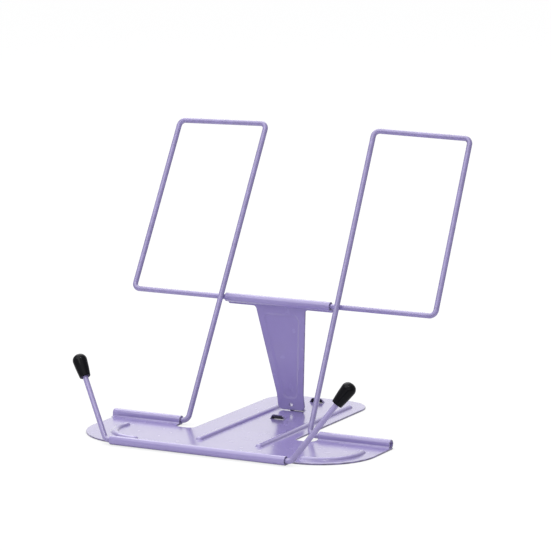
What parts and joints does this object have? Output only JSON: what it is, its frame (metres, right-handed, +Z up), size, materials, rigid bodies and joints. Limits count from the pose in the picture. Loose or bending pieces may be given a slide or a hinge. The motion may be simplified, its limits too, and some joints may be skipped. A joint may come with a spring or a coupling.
{
  "type": "book stand",
  "caption": "Folding book stand of painted wire frames and pressed sheet, with a hinged prop leg in a louvred base and a swinging page holder with soft caps.",
  "frame": {"origin": "on the desk, under the middle of the hinge line between the base and the page frames", "axes": "+X to the reader's right along the hinge line, +Y to the back along the tongue, +Z up"},
  "size_m": [0.2227, 0.1825, 0.1866],
  "materials": {
    "lavender_paint": "satin",
    "black_rubber": "satin"
  },
  "bodies": {
    "base": {"base_plate": "lavender_paint"},
    "left_frame": {"left_frame": "lavender_paint"},
    "right_frame": {"right_frame": "lavender_paint"},
    "support_leg": {"support_leg": "lavender_paint"},
    "page_holder": {"page_holder": "lavender_paint", "left_cap": "black_rubber", "right_cap": "black_rubber"}
  },
  "joints": [
    {"name": "frame_fold", "type": "hinge", "parent": "base", "child": "left_frame", "pos_m": [0, 0, 0.0029], "axis": [1, 0, 0], "range_deg": [0, 115]},
    {"name": "frame_fold_right", "type": "hinge", "parent": "base", "child": "right_frame", "pos_m": [0, 0, 0.0029], "axis": [1, 0, 0], "range_deg": [0, 115]},
    {"name": "leg_fold", "type": "hinge", "parent": "left_frame", "child": "support_leg", "pos_m": [0, 0.04568, 0.07726], "axis": [-1, 0, 0], "range_deg": [0, 42.1]},
    {"name": "holder_swing", "type": "hinge", "parent": "base", "child": "page_holder", "pos_m": [0, -0.07, 0.0029], "axis": [1, 0, 0], "range_deg": [-60, 105]}
  ],
  "couplings": [
    {"joint": "frame_fold_right", "follows": "frame_fold", "ratio": 1},
    {"joint": "leg_fold", "follows": "frame_fold", "ratio": 0.366}
  ]
}
